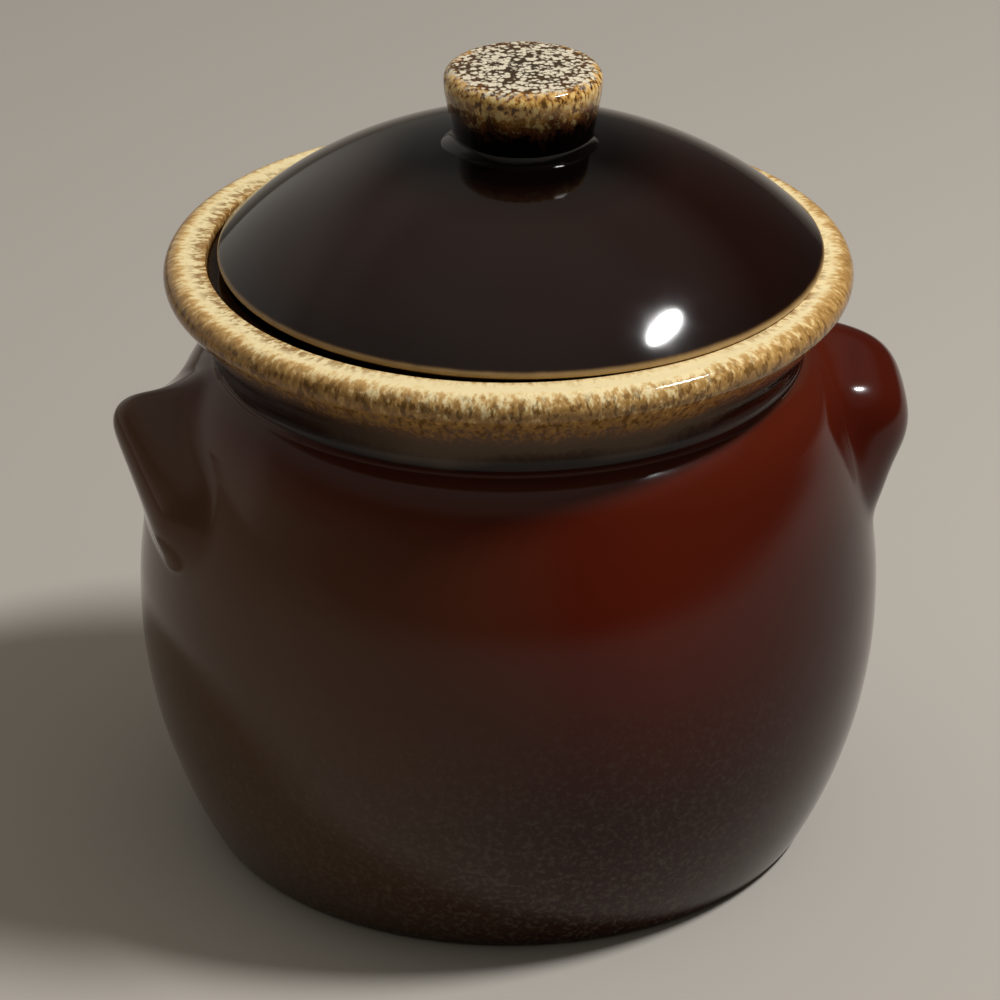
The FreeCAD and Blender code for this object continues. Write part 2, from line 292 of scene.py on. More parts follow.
def makePotGlaze():
    f = potFinish
    material, tree = newMaterial("stonewareBrownGlazeDipped")
    flow, solid, slope = glazeCoordinates(tree)
    spot = addNode(tree, "SeparateXYZ", {0: solid})
    sideways, height = spot.outputs["X"], spot.outputs["Z"]
    outward = addNode(tree, "Math", {0: sideways}, 0, operation="ABSOLUTE")
    granule = mottle(tree, flow, f["granule"], 1.7, 2.0, 0.6)
    clump = mottle(tree, flow, f["clump"], 1.6, 1.0)
    cloud = mottle(tree, solid, f["cloud"])
    read = {"slope": slope, "sideways": sideways, "outward": outward, "height": height}
    fade = {}
    for name, (what, start, end, first, last) in f["fades"].items():
        fade[name] = addNode(tree, "MapRange", {0: read[what], 1: start, 2: end, 3: first, 4: last}, 0)

    # granules and clumps shift the bands up and down, and the bands are pushed further to the left and right,
    # partly where the glaze ran further and partly as painted shade under the roll
    reach = readBands(tree, slope, f["reach"])
    fine = addNode(tree, "MapRange", {0: granule, 1: 0.36, 2: 0.64, 3: -f["reachMost"], 4: f["reachMost"]}, 0)
    coarse = addNode(tree, "MapRange", {
        0: clump, 1: 0.35, 2: 0.65, 3: -f["clumpShift"], 4: f["clumpShift"]}, 0)
    shift = addNode(tree, "Math", {0: fine, 1: coarse}, 0, operation="ADD")
    run = addNode(tree, "Math", {0: shift, 1: reach, 2: slope}, 0, operation="MULTIPLY_ADD")
    drift = addNode(tree, "MapRange", {0: cloud, 1: 0.3, 2: 0.7, 3: -f["drift"], 4: f["drift"]}, 0)
    extra = addNode(tree, "Math", {0: fade["leftRunAndShade"], 1: fade["rightRunAndShade"]}, 0, operation="ADD")
    extra = addNode(tree, "Math", {0: extra, 1: drift}, 0, operation="ADD")
    run = addNode(tree, "Math", {0: extra, 1: fade["outer"], 2: run}, 0, operation="MULTIPLY_ADD")
    base = readBands(tree, run, f["bands"])

    # golden brown granules on the inner slope of the rim, away from the front
    grain = mottle(tree, flow, 0.8, 1.6, 2.0, 0.6)
    innerGrain = addNode(tree, "MapRange", {0: grain, 1: 0.45, 2: 0.57, 4: 0.8}, 0)
    base = overlay(tree, base, f["gold"], innerGrain, fade["inner"], fade["innerEnd"], fade["away"])

    # dark brown flecks between the cream granules of the outer face
    faceEnd = addNode(tree, "MapRange", {0: run, 1: f["faceEnd"][0], 2: f["faceEnd"][1]}, 0)
    grain = mottle(tree, flow, 0.75, 1.8, 2.0, 0.6)
    flecks = addNode(tree, "MapRange", {0: grain, 1: 0.48, 2: 0.4, 4: 0.7}, 0)
    base = overlay(tree, base, f["fleck"], flecks, fade["onFace"], faceEnd)

    # painted shade: the low part of the outer face, under the roll, is dark towards both sides
    base = overlay(tree, base, f["sideShade"], fade["lowFace"], fade["aboveCrease"], fade["away"])

    # the body: painted shade in and below the crease, redder on the shoulder, browner lower down, with
    # painted reflection on the left and in grey specks low down, and painted shade on the right
    # painted shade: dark below the crease, over a wider band on the left
    shadeEnd = addNode(tree, "Math", {0: fade["shadeEnd"], 1: drift}, 0, operation="ADD")
    shade = addNode(tree, "MapRange", {0: slope, 1: f["shadeFrom"], 2: shadeEnd, 3: 1.0, 4: 0.0}, 0,
                    interpolation_type="SMOOTHSTEP")
    base = overlay(tree, base, f["shade"], shade, fade["below"])
    thick = addNode(tree, "MapRange", {0: mottle(tree, solid, 60.0), 1: 0.35, 2: 0.65, 4: 0.6}, 0)
    base = overlay(tree, base, f["thick"], thick, fade["onBody"])
    base = overlay(tree, base, f["lowBrown"], fade["lower"], fade["onBody"])
    # painted reflection on the left of the body
    base = overlay(tree, base, f["leftReflection"], fade["leftward"], fade["onBody"])
    # painted shade on the right of the body
    base = overlay(tree, base, f["rightShade"], fade["rightward"], fade["onBody"], fade["lowRight"])
    # painted reflection: grey specks low on the body, fewer on the right; they also make the glaze a little
    # duller and bumpier
    specks = addNode(tree, "MapRange", {0: mottle(tree, solid, 0.7, 1.0, 3.0, 0.65), 1: 0.48, 2: 0.66}, 0)
    fewer = addNode(tree, "MapRange", {0: fade["rightward"], 3: 1.0, 4: 0.2}, 0)
    speckShare = addNode(tree, "Math", {0: fade["specked"], 1: fewer}, 0, operation="MULTIPLY")
    base = overlay(tree, base, f["speck"], specks, speckShare, fade["onBody"])

    # bare clay where the foot ring was wiped
    base = overlay(tree, base, f["bareClay"], fade["foot"])

    smoothest, dullest = f["gloss"]
    shine = addNode(tree, "MapRange", {
        0: mottle(tree, solid, 9.0), 1: 0.35, 2: 0.65, 3: smoothest, 4: dullest}, 0)
    shine = addNode(tree, "Math", {0: speckShare, 1: 0.12, 2: shine}, 0, operation="MULTIPLY_ADD")
    dull = addNode(tree, "Mix", {0: fade["foot"], 2: shine, 3: 0.85}, 0)
    waves = mottle(tree, solid, f["waves"], 1.0, 1.0)
    swell = addNode(tree, "Bump", {"Height": waves, "Strength": 0.5, "Distance": 0.0005}, 0)
    grainShare = addNode(tree, "Math", {0: reach, 1: speckShare}, 0, operation="MAXIMUM")
    relief = addNode(tree, "Math", {0: granule, 1: grainShare}, 0, operation="MULTIPLY")
    relief = addNode(tree, "Bump", {
        "Height": relief, "Strength": 0.35, "Distance": 0.0001, "Normal": swell}, 0)
    shader = addNode(tree, "BsdfPrincipled", {
        "Base Color": base, "Roughness": dull, "IOR": 1.33, "Normal": relief}, 0)
    addNode(tree, "OutputMaterial", {"Surface": shader})
    return material


# Lid glaze: the same slip glaze, thicker and darker on the dome. It breaks to a thin tan line at the edge.
lidFinish = {
    "bands": [  # mm from the outermost edge, up over the dome (below zero is underneath)
        (-12.0, "#2a180f"), (-6.4, "#6d5230"), (-4.0, "#c9a877"), (-0.5, "#cbad7c"), (0.15, "#b39567"),
        (0.7, "#80643d"), (1.15, "#2c1a0e"), (1.6, "#180b08"), (40.0, "#1c0d09"), (80.0, "#1a0c09")],
    "fades": {  # what each is read from, two places in mm, and its level at each
        "onDome": ("slope", 3.0, 10.0, 0.0, 1.0),
        # where the painted shade and dark reflection round the knob fade out
        "knobShadeRing": ("out", 36.0, 22.0, 0.0, 1.0),
        "wiped": ("height", 129.5, 129.2, 0.0, 1.0),  # the foot of the flange
    },
    "uneven": 0.08,  # mm, how far the thin line at the edge wanders
    "blotch": 45.0, "waves": 30.0,  # mm across
    "redDark": "#260c07",
    "pool": "#060302",  # near black round the knob: painted shade and dark reflection of the knob's foot
    "axis": 2.8,  # mm, the same as the lid's shift
    "bareClay": "#b39471",
    "gloss": (0.06, 0.1),  # roughness, least and most
}


def makeLidGlaze():
    f = lidFinish
    material, tree = newMaterial("stonewareBlackBrownGlazeDipped")
    flow, solid, slope = glazeCoordinates(tree)
    height = addNode(tree, "SeparateXYZ", {0: solid}, "Z")
    ripple = mottle(tree, flow, 2.0, 1.0, 3.0)
    uneven = addNode(tree, "MapRange", {0: ripple, 1: 0.3, 2: 0.7, 3: -f["uneven"], 4: f["uneven"]}, 0)
    run = addNode(tree, "Math", {0: slope, 1: uneven}, 0, operation="ADD")
    base = readBands(tree, run, f["bands"])
    level = addNode(tree, "VectorMath", {0: solid, 1: (f["axis"], 0, 0)}, 0, operation="SUBTRACT")
    level = addNode(tree, "VectorMath", {0: level, 1: (1, 1, 0)}, 0, operation="MULTIPLY")
    out = addNode(tree, "VectorMath", {0: level}, "Value", operation="LENGTH")
    read = {"slope": slope, "height": height, "out": out}
    fade = {}
    for name, (what, start, end, first, last) in f["fades"].items():
        fade[name] = addNode(tree, "MapRange", {0: read[what], 1: start, 2: end, 3: first, 4: last}, 0)
    blotch = addNode(tree, "MapRange", {0: mottle(tree, solid, f["blotch"]), 1: 0.4, 2: 0.7, 4: 0.6}, 0)
    base = overlay(tree, base, f["redDark"], blotch, fade["onDome"])
    # painted shade and dark reflection: a near black ring round the knob
    base = overlay(tree, base, f["pool"], fade["knobShadeRing"])
    base = overlay(tree, base, f["bareClay"], fade["wiped"])
    smoothest, dullest = f["gloss"]
    shine = addNode(tree, "MapRange", {
        0: mottle(tree, solid, 8.0), 1: 0.35, 2: 0.65, 3: smoothest, 4: dullest}, 0)
    dull = addNode(tree, "Mix", {0: fade["wiped"], 2: shine, 3: 0.8}, 0)
    waves = mottle(tree, solid, f["waves"], 1.0, 1.0)
    swell = addNode(tree, "Bump", {"Height": waves, "Strength": 0.4, "Distance": 0.0004}, 0)
    shader = addNode(tree, "BsdfPrincipled", {
        "Base Color": base, "Roughness": dull, "IOR": 1.38, "Normal": swell}, 0)
    addNode(tree, "OutputMaterial", {"Surface": shader})
    return material


# Knob glaze: the same glaze run thin. Cream specks with a dark net between them on top, a golden granular
# band round the shoulder, and black at the foot where it gathers.
knobFinish = {
    "bands": [  # mm from the middle of the top, over the shoulder and down the side, colour under the specks
        (0.0, "#3b3024"), (9.5, "#4a3824"), (13.5, "#50361f"), (15.8, "#6b4220"), (17.2, "#bd873c"),
        (20.2, "#cf9f56"), (21.6, "#845428"), (23.2, "#4c2b18"), (25.8, "#28150c"), (27.6, "#080403"),
        (40.0, "#020101")],
    "fades": {  # what each is read from, two places in mm, and its level at each
        "onTop": ("run", 18.6, 15.2, 0.0, 0.92),
        "onShoulder": ("slope", 14.5, 18.0, 0.0, 0.85),
        "offFoot": ("run", 25.4, 19.5, 0.0, 1.0),
    },
    "granule": 0.62, "granuleShift": 1.7,  # mm across, and mm that they move the bands
    "clump": 2.4, "clumpShift": 1.5,
    "speck": 1.2,  # mm, the spacing of the cream specks
    "speckSize": (0.36, 0.7),  # least and most, as a share of the spacing
    "cream": "#f4e8cc",
    "gold": "#f2d48c",
    "dark": "#3a2110",
    "gloss": (0.05, 0.1),  # roughness, least and most
}


def makeKnobGlaze():
    f = knobFinish
    material, tree = newMaterial("stonewareSpeckledGlazeDipped")
    flow, solid, slope = glazeCoordinates(tree)
    fine = mottle(tree, solid, f["granule"], 1.5, 2.0, 0.6)
    clump = mottle(tree, solid, f["clump"], 1.6, 1.0)
    fineShift = addNode(tree, "MapRange", {
        0: fine, 1: 0.34, 2: 0.66, 3: -f["granuleShift"], 4: f["granuleShift"]}, 0)
    shift = addNode(tree, "MapRange", {
        0: clump, 1: 0.35, 2: 0.65, 3: -f["clumpShift"], 4: f["clumpShift"]}, 0)
    run = addNode(tree, "Math", {0: slope, 1: shift}, 0, operation="ADD")
    grainy = addNode(tree, "Math", {0: run, 1: fineShift}, 0, operation="ADD")
    base = readBands(tree, grainy, f["bands"])
    read = {"slope": slope, "run": run}
    fade = {}
    for name, (what, start, end, first, last) in f["fades"].items():
        fade[name] = addNode(tree, "MapRange", {0: read[what], 1: start, 2: end, 3: first, 4: last}, 0)

    # round specks of uneven size: cells, bent a little by noise
    bend = addNode(tree, "TexNoise", {"Vector": solid, "Scale": 0.9, "Detail": 1.0}, "Color")
    bent = addNode(tree, "VectorMath", {0: bend, 1: (1.1, 1.1, 1.1), 2: solid}, 0, operation="MULTIPLY_ADD")
    cells = addNode(tree, "TexVoronoi", {"Vector": bent, "Scale": 1 / f["speck"], "Randomness": 1.0})
    each = addNode(tree, "SeparateColor", {0: cells.outputs["Color"]}, "Red")
    least, most = f["speckSize"]
    size = addNode(tree, "MapRange", {0: each, 3: least, 4: most}, 0)
    edge = addNode(tree, "Math", {0: size, 1: cells.outputs["Distance"]}, 0, operation="SUBTRACT")
    speck = addNode(tree, "MapRange", {0: edge, 1: -0.1, 2: 0.16}, 0)
    base = overlay(tree, base, f["cream"], speck, fade["onTop"])
    goldShare = addNode(tree, "MapRange", {0: fine, 1: 0.5, 2: 0.6}, 0)
    base = overlay(tree, base, f["gold"], goldShare, fade["onShoulder"], fade["offFoot"])
    darkShare = addNode(tree, "MapRange", {0: fine, 1: 0.47, 2: 0.4}, 0)
    base = overlay(tree, base, f["dark"], darkShare, fade["onShoulder"], fade["offFoot"])
    smoothest, dullest = f["gloss"]
    shine = addNode(tree, "MapRange", {0: fine, 1: 0.35, 2: 0.65, 3: smoothest, 4: dullest}, 0)
    bump = addNode(tree, "Bump", {"Height": fine, "Strength": 0.3, "Distance": 0.00012}, 0)
    shader = addNode(tree, "BsdfPrincipled", {
        "Base Color": base, "Roughness": shine, "IOR": 1.42, "Normal": bump}, 0)
    addNode(tree, "OutputMaterial", {"Surface": shader})
    return material


potGlaze = makePotGlaze()
lidGlaze = makeLidGlaze()
knobGlaze = makeKnobGlaze()
print("glazes made")


# Pot body, thrown: foot, belly, shoulder, crease, flared collar, rolled rim, ledge, throat and inside
potBodyShape = {
    "bellyRadius": 85.0, "bellyHeight": 56.0, "footRadius": 70.0, "footRound": 3.0, "footRing": 8.0,
    "recess": 1.5, "wall": 5.5, "floor": 7.0, "floorRound": 12.0, "shoulder": (74.8, 106.0),
    "crease": (66.0, 116.0), "creaseRound": 2.5, "flareRadius": 12.0,
    "rollRadius": 3.7, "roll": (73.5, 135.3), "lip": (67.8, 138.88), "lipRound": 0.4,
    "seat": (67.2, 136.5), "throat": 63.5, "throatFoot": 127.0, "neck": (60.5, 114.2), "ledgeRound": 0.8,
    "segments": 240,
    "girth": 75.0,  # mm, the radius that the glaze pattern is wrapped round
    "unevenness": 0.35,  # mm, how far the thrown wall wanders inwards
}


def bowRadius(inset, rise):
    return (inset ** 2 + rise ** 2) / (2 * inset)


def footOf(centre, radius, level, rounding):
    # where a bowed wall turns into the flat below it
    drop = centre[1] - level - rounding
    middle = (centre[0] + math.sqrt((radius - rounding) ** 2 - drop ** 2), level + rounding)
    wallAngle = math.degrees(math.atan2(middle[1] - centre[1], middle[0] - centre[0]))
    return wallAngle, middle


def potProfile():
    p = potBodyShape
    lowBow = bowRadius(p["bellyRadius"] - p["footRadius"], p["bellyHeight"])
    highBow = bowRadius(p["bellyRadius"] - p["shoulder"][0], p["shoulder"][1] - p["bellyHeight"])
    lowCentre = (p["bellyRadius"] - lowBow, p["bellyHeight"])
    highCentre = (p["bellyRadius"] - highBow, p["bellyHeight"])
    lean = math.degrees(math.atan2(p["shoulder"][1] - highCentre[1], p["shoulder"][0] - highCentre[0]))
    footAngle, footMiddle = footOf(lowCentre, lowBow, 0, p["footRound"])
    ringIn = footMiddle[0] - p["footRing"]
    flareCentre = (p["crease"][0] + p["flareRadius"], p["crease"][1])
    span = math.dist(flareCentre, p["roll"])
    flareAngle = math.degrees(math.atan2(p["roll"][1] - flareCentre[1], p["roll"][0] - flareCentre[0])
                              + math.acos((p["flareRadius"] + p["rollRadius"]) / span))
    flare = arcRun(flareCentre, p["flareRadius"], 180, flareAngle, 0.6)
    roll = arcRun(p["roll"], p["rollRadius"], flareAngle - 180, 90, 0.4)
    crest = (p["roll"][0], p["roll"][1] + p["rollRadius"])
    innerAngle, innerMiddle = footOf(lowCentre, lowBow - p["wall"], p["floor"], p["floorRound"])
    innerShoulder = arcRun(highCentre, highBow - p["wall"], 0, lean)
    outerShoulder = arcRun(highCentre, highBow, 0, lean)
    runs = [  # a number between two runs is the radius of the corner there
        lineRun((0, p["recess"]), (ringIn, p["recess"]), 6), 0.5,
        lineRun((ringIn, p["recess"]), (ringIn + p["recess"], 0), 0.5), 0.4,
        lineRun((ringIn + p["recess"], 0), (footMiddle[0], 0), 1.5),
        arcRun(footMiddle, p["footRound"], -90, footAngle, 0.5),
        arcRun(lowCentre, lowBow, footAngle, 0, 1.8),
        outerShoulder,
        tangentRun(tuple(outerShoulder[-1]), lean + 90, p["crease"], 0.8), p["creaseRound"],
        flare,
        lineRun(flare[-1], roll[0], 0.8),
        roll,
        tangentRun(crest, 180, p["lip"], 0.4), p["lipRound"],
        lineRun(p["lip"], p["seat"], 0.3), 0.4,
        lineRun(p["seat"], (p["throat"], p["seat"][1]), 0.5), p["ledgeRound"],
        lineRun((p["throat"], p["seat"][1]), (p["throat"], p["throatFoot"])), 1.5,
        lineRun((p["throat"], p["throatFoot"]), p["neck"]), p["creaseRound"],
        tangentRun(tuple(innerShoulder[-1]), lean + 90, p["neck"], 1.2)[::-1],
        innerShoulder[::-1],
        arcRun(lowCentre, lowBow - p["wall"], 0, innerAngle, 2.4),
        arcRun(innerMiddle, p["floorRound"], innerAngle, -90, 1.2),
        lineRun((innerMiddle[0], p["floor"]), (0, p["floor"]), 5),
    ]
    path = joinRuns(runs)
    along = walked(path)
    return path, along[np.argmin(np.hypot(path[:, 0] - crest[0], path[:, 1] - crest[1]))] - along


def potWobble(angle, height, slope):
    # a thrown wall is never quite round: slow inward swells, none at the rim, seat or foot
    share = np.clip((slope - 12) / 30, 0, 1) * np.clip((height - 2) / 14, 0, 1)
    swell = (2.0 + np.sin(2 * angle + 0.6 + height / 60) + 0.6 * np.sin(3 * angle - 1.1 - height / 34)
             + 0.4 * np.sin(5 * angle + height / 22)) / 4
    rings = 0.5 + 0.5 * np.sin(height * 2 * math.pi / 17 + 0.5 * np.sin(angle))
    return potBodyShape["unevenness"] * share * (0.8 * np.clip(swell, 0, None) + 0.12 * rings)


potPath, potAlong = potProfile()
potBody = throwPiece("potBody", potPath, potAlong, potGlaze, potBodyShape["segments"], potBodyShape["girth"],
                     0.0, potWobble)
print("pot body thrown:", len(potBody.data.polygons), "faces")


# Lug handles, pressed and luted on: a tab pulled from the shoulder, filled into the wall with slip and glaze
lugShape = {
    # balls that the clay is stretched over: out from the axis, along Y, height, radius
    "right": [
        (75.6, 0.0, 105.2, 8.9), (79.8, -4.0, 102.7, 10.9), (80.4, 0.0, 93.5, 9.0),
        (77.6, -13.4, 97.2, 12.9), (75.0, 19.0, 90.0, 10.5), (75.6, -19.6, 87.8, 8.4)],
    "left": [
        (72.4, 0.0, 103.8, 7.7), (84.6, 0.0, 105.0, 5.9), (80.4, 0.0, 94.2, 6.6),
        (74.4, 18.8, 90.1, 10.4), (74.4, -18.6, 90.1, 10.4)],
    "soften": {"right": 4, "left": 2},  # grid cells, how far the edges of the tab were rubbed down
    "blend": 8.0,  # mm, width of the fillet
    "sink": 0.015,  # mm under the pot's surface where the lug has run out
    "reach": (36.0, 66.0, 116.0),  # degrees to each side, lowest and highest mm of its footprint
    "wall": (29.0, 20.0),  # mm down the slope from the rim, and mm up from the foot: the wall it meets
    "columns": 170, "rows": 110,
    "heart": (60.0, 0.0, 96.0),  # the grid is cast outwards from here
    "far": 34.0,  # mm outside the wall, where each ray starts back towards the clay
    "steps": 90, "stride": 0.85,  # steps of each ray, and the share of its gap to the clay that one covers
    "deepest": 1.0,  # mm inside the wall, past which a ray has missed the lug
    "feather": 1.2,  # mm off the wall, over which its shading turns into the lug's own
    "behind": 2.0,  # mm inside the wall, where its back lies
    "stretch": 2.0,  # mm of glaze pattern for each mm that the lug stands out
}


def ballCone(p, a, ra, b, rb):
    # distance to the skin stretched over two balls
    ba = b - a
    span = ba @ ba
    rr = ra - rb
    a2 = span - rr * rr
    pa = p - a
    y = pa @ ba
    z = y - span
    x2 = ((pa * span - y[:, None] * ba) ** 2).sum(1)
    y2 = y * y * span
    z2 = z * z * span
    k = np.sign(rr) * rr * rr * x2
    side = (np.sqrt(np.maximum(x2 * a2 / span, 0)) + y * rr) / span - ra
    out = side
    out = np.where(np.sign(z) * a2 * z2 > k, np.sqrt(np.maximum(x2 + z2, 0)) / span - rb, out)
    out = np.where(np.sign(y) * a2 * y2 < k, np.sqrt(np.maximum(x2 + y2, 0)) / span - ra, out)
    return out


def ballTriangle(p, balls):
    # distance to the two flat skins over three balls, or far away where neither is nearest
    (a, ra), (b, rb), (c, rc) = balls
    e1, e2 = b - a, c - a
    up = np.cross(e1, e2)
    up = up / np.linalg.norm(up)
    gram = np.array([[e1 @ e1, e1 @ e2], [e1 @ e2, e2 @ e2]])
    share = np.linalg.solve(gram, [ra - rb, ra - rc])
    flat = share[0] * e1 + share[1] * e2
    rise = math.sqrt(max(1 - flat @ flat, 1e-9))
    pa = p - a
    h = pa @ up
    lam = np.abs(h) / rise
    normal = flat[None, :] + np.sign(h)[:, None] * rise * up[None, :]
    foot = pa - lam[:, None] * normal
    w = np.linalg.solve(gram, np.stack([foot @ e1, foot @ e2]))
    inside = (w[0] >= 0) & (w[1] >= 0) & (w[0] + w[1] <= 1)
    radius = ra + w[0] * (rb - ra) + w[1] * (rc - ra)
    return np.where(inside, lam - radius, 1e3)


# the wall from low on the belly up to the crease; above that the lug sees an upright wall, and the collar
# covers the rest
wallTop, wallFoot = lugShape["wall"]
belowCrease = (potAlong > wallTop) & (potPath[:, 1] > wallFoot)
outerWall, outerSlope = potPath[belowCrease], potAlong[belowCrease]
wallLean = np.gradient(outerWall[:, 0]) / np.gradient(outerWall[:, 1])


def wallDistance(p):
    # distance outside the pot's wall, good near the wall
    radius = np.interp(p[:, 2], outerWall[:, 1], outerWall[:, 0])
    lean = np.interp(p[:, 2], outerWall[:, 1], wallLean)
    angle = np.arctan2(p[:, 1], p[:, 0])
    slope = np.interp(p[:, 2], outerWall[:, 1], outerSlope)
    wander = potWobble(angle, p[:, 2], slope)
    return (np.hypot(p[:, 0], p[:, 1]) - radius + wander) / np.sqrt(1 + lean ** 2)


def lugField(p, balls, blend, sink):
    skins = [ballCone(p, a[0], a[1], b[0], b[1]) for i, a in enumerate(balls) for b in balls[:i]]
    for i in range(len(balls)):
        for j in range(i):
            for k in range(j):
                skins.append(ballTriangle(p, (balls[i], balls[j], balls[k])))
    lug = np.min(skins, axis=0)
    wallSkin = wallDistance(p) + sink
    share = np.clip(0.5 + 0.5 * (lug - wallSkin) / blend, 0, 1)
    return lug * (1 - share) + wallSkin * share - blend * share * (1 - share)


def evened(grid, spread):
    # a blur over spread cells both ways
    reach = np.arange(-3 * spread, 3 * spread + 1)
    weight = np.exp(-0.5 * (reach / spread) ** 2)
    weight /= weight.sum()
    padded = np.pad(grid, 3 * spread, mode="edge")
    for axis in (0, 1):
        padded = np.apply_along_axis(np.convolve, axis, padded, weight, "valid")
    return padded


def pressLug(name, side, sign, material):
    shape = lugShape
    # the pot wanders differently at each side, so the left lug is worked out in place
    balls = [(np.array([x * sign, y, z]), r) for x, y, z, r in shape[side]]
    heart = np.array(shape["heart"]) * (sign, 1, 1)
    reach, lowest, highest = shape["reach"]
    middle = 0 if sign > 0 else math.pi
    u = np.radians(np.linspace(-reach, reach, shape["columns"])) + middle
    v = np.linspace(lowest, highest, shape["rows"])
    angle, height = np.meshgrid(u, v)
    angle, height = angle.ravel(), height.ravel()
    radius = np.interp(height, outerWall[:, 1], outerWall[:, 0])
    slope = np.interp(height, outerWall[:, 1], outerSlope)
    base = radius - potWobble(angle, height, slope)
    onWall = np.column_stack([base * np.cos(angle), base * np.sin(angle), height])
    ray = onWall - heart
    ray = ray / np.linalg.norm(ray, axis=1)[:, None]
    points = onWall + ray * shape["far"]
    for _ in range(shape["steps"]):
        gap = lugField(points, balls, shape["blend"], shape["sink"])
        points = points - ray * (shape["stride"] * gap)[:, None]
    # never below the sunk wall, where a ray grazes it
    deep = wallDistance(points) < -shape["deepest"]
    points[deep] = onWall[deep]
    lift = ((points - onWall) * ray).sum(axis=1).reshape(shape["rows"], shape["columns"])
    points = onWall + ray * evened(lift, shape["soften"][side]).reshape(-1, 1)
    out = wallDistance(points)
    small = 0.02
    skin = points.reshape(shape["rows"], shape["columns"], 3)
    normals = np.cross(np.gradient(skin, axis=1), np.gradient(skin, axis=0)).reshape(-1, 3)
    normals *= np.sign((normals * ray).sum(axis=1))[:, None]
    wallNormals = np.stack([wallDistance(points + small * axis) - wallDistance(points - small * axis)
                            for axis in np.eye(3)], axis=1)
    normals /= np.linalg.norm(normals, axis=1)[:, None]
    wallNormals /= np.linalg.norm(wallNormals, axis=1)[:, None]
    # where the lug runs out, it is shaded as the wall is, so that no seam shows
    share = np.clip(out / shape["feather"], 0, 1)[:, None]
    share = share * share * (3 - 2 * share)
    normals = normals * share + wallNormals * (1 - share)
    normals /= np.linalg.norm(normals, axis=1)[:, None]
    back = onWall - wallNormals * shape["behind"]
    grid = np.arange(len(points)).reshape(shape["rows"], shape["columns"])
    count = len(points)
    front = np.stack([grid[:-1, :-1], grid[:-1, 1:], grid[1:, 1:], grid[1:, :-1]], axis=-1).reshape(-1, 4)
    behind = front[:, ::-1] + count
    border = np.concatenate([grid[0, :-1], grid[:-1, -1], grid[-1, :0:-1], grid[:0:-1, 0]])
    after = np.roll(border, -1)
    sides = np.stack([after, border, border + count, after + count], axis=-1)
    faces = np.vstack([front, behind, sides]).tolist()
    slopeAt = np.interp(points[:, 2], outerWall[:, 1], outerSlope) + shape["stretch"] * np.clip(out, 0, None)
    turn = np.arctan2(points[:, 1], points[:, 0])
    girth = potBodyShape["girth"]
    flow = np.column_stack([girth * np.cos(turn), girth * np.sin(turn), slopeAt])
    piece = addMesh(name, np.vstack([points, back]), faces, np.vstack([flow, flow]), material)
    allNormals = np.vstack([normals, -wallNormals])
    piece.data.normals_split_custom_set_from_vertices(allNormals.tolist())
    return piece


lugRight = pressLug("lugRight", "right", 1, potGlaze)
lugLeft = pressLug("lugLeft", "left", -1, potGlaze)
print("lugs pressed on:", len(lugRight.data.polygons), "faces each")


# Lid, jiggered: dome, thin edge, seating ring, flange and the hollow under it
lidShape = {
    "shift": 2.8,  # mm, it lies pushed over to the right in its seat
    "crown": 167.3, "domeRadius": 99.0, "turn": 56.0, "edge": (67.0, 139.9), "edgeRound": 0.85,
    "under": (64.3, 138.65), "ring": (63.4, 136.8), "flange": 60.4, "flangeFoot": 128.8, "flangeRound": 1.5,
    "bore": 55.9, "innerRadius": 94.5, "boreRound": 3.0, "girth": 60.0, "segments": 240,
}


def lidProfile():
    p = lidShape
    centre = (0, p["crown"] - p["domeRadius"])
    turnAngle = math.degrees(math.acos(p["turn"] / p["domeRadius"]))
    turn = (p["turn"], centre[1] + p["domeRadius"] * math.sin(math.radians(turnAngle)))
    corner = math.sqrt(0.5) * p["edgeRound"]
    edgeTop = (p["edge"][0] + corner, p["edge"][1] + corner)
    boreAngle = math.degrees(math.acos(p["bore"] / p["innerRadius"]))
    boreTop = (p["bore"], centre[1] + p["innerRadius"] * math.sin(math.radians(boreAngle)))
    low = p["flangeFoot"]
    runs = [  # a number between two runs is the radius of the corner there
        arcRun(centre, p["innerRadius"], 90, boreAngle, 1.4), p["boreRound"],
        lineRun(boreTop, (p["bore"], low), 0.8), 1.2,
        lineRun((p["bore"], low), (p["flange"], low), 0.4), p["flangeRound"],
        lineRun((p["flange"], low), (p["flange"], p["ring"][1]), 0.8), 0.5,
        lineRun((p["flange"], p["ring"][1]), p["ring"], 0.4), 0.35,
        lineRun(p["ring"], p["under"], 0.4), 0.6,
        lineRun(p["under"], (p["edge"][0], p["edge"][1] - p["edgeRound"]), 0.4),
        arcRun(p["edge"], p["edgeRound"], -90, 45, 0.15),
        tangentRun(turn, turnAngle - 90, edgeTop, 0.5)[::-1],
        arcRun(centre, p["domeRadius"], turnAngle, 90, 1.2),
    ]
    path = joinRuns(runs)
    along = walked(path)
    return path, along - along[np.argmax(path[:, 0])]


lidPath, lidAlong = lidProfile()
lidShell = throwPiece("lidShell", lidPath, lidAlong, lidGlaze, lidShape["segments"], lidShape["girth"],
                      lidShape["shift"])
print("lid thrown:", len(lidShell.data.polygons), "faces")


# Knob, a drum of clay luted to the crown, with the glaze pooled round its foot
knobShape = {
    "radius": 17.6, "top": 183.2, "widest": 180.2, "crownEdge": (15.0, 182.85), "crownRound": 3.0,
    "cheek": (17.25, 176.4), "waist": (15.7, 168.2), "waistRound": 5.0, "pool": 0.5, "under": 165.25,
    "sunk": 1.2,  # mm, how far its underside reaches down and in from there, inside the lid's clay
    "spill": (2.6, 1.2),  # mm, how far the pool spreads to the left and to the front right
    "spillTop": 168.4, "spillDepth": 2.9,  # mm up where it starts, and mm down from there to its full spread
    "spillTurn": 0.6, "spillNarrow": 6,  # radians towards the front, and how narrow each lobe is
    "axis": 3.3, "girth": 16.0, "segments": 160,
}


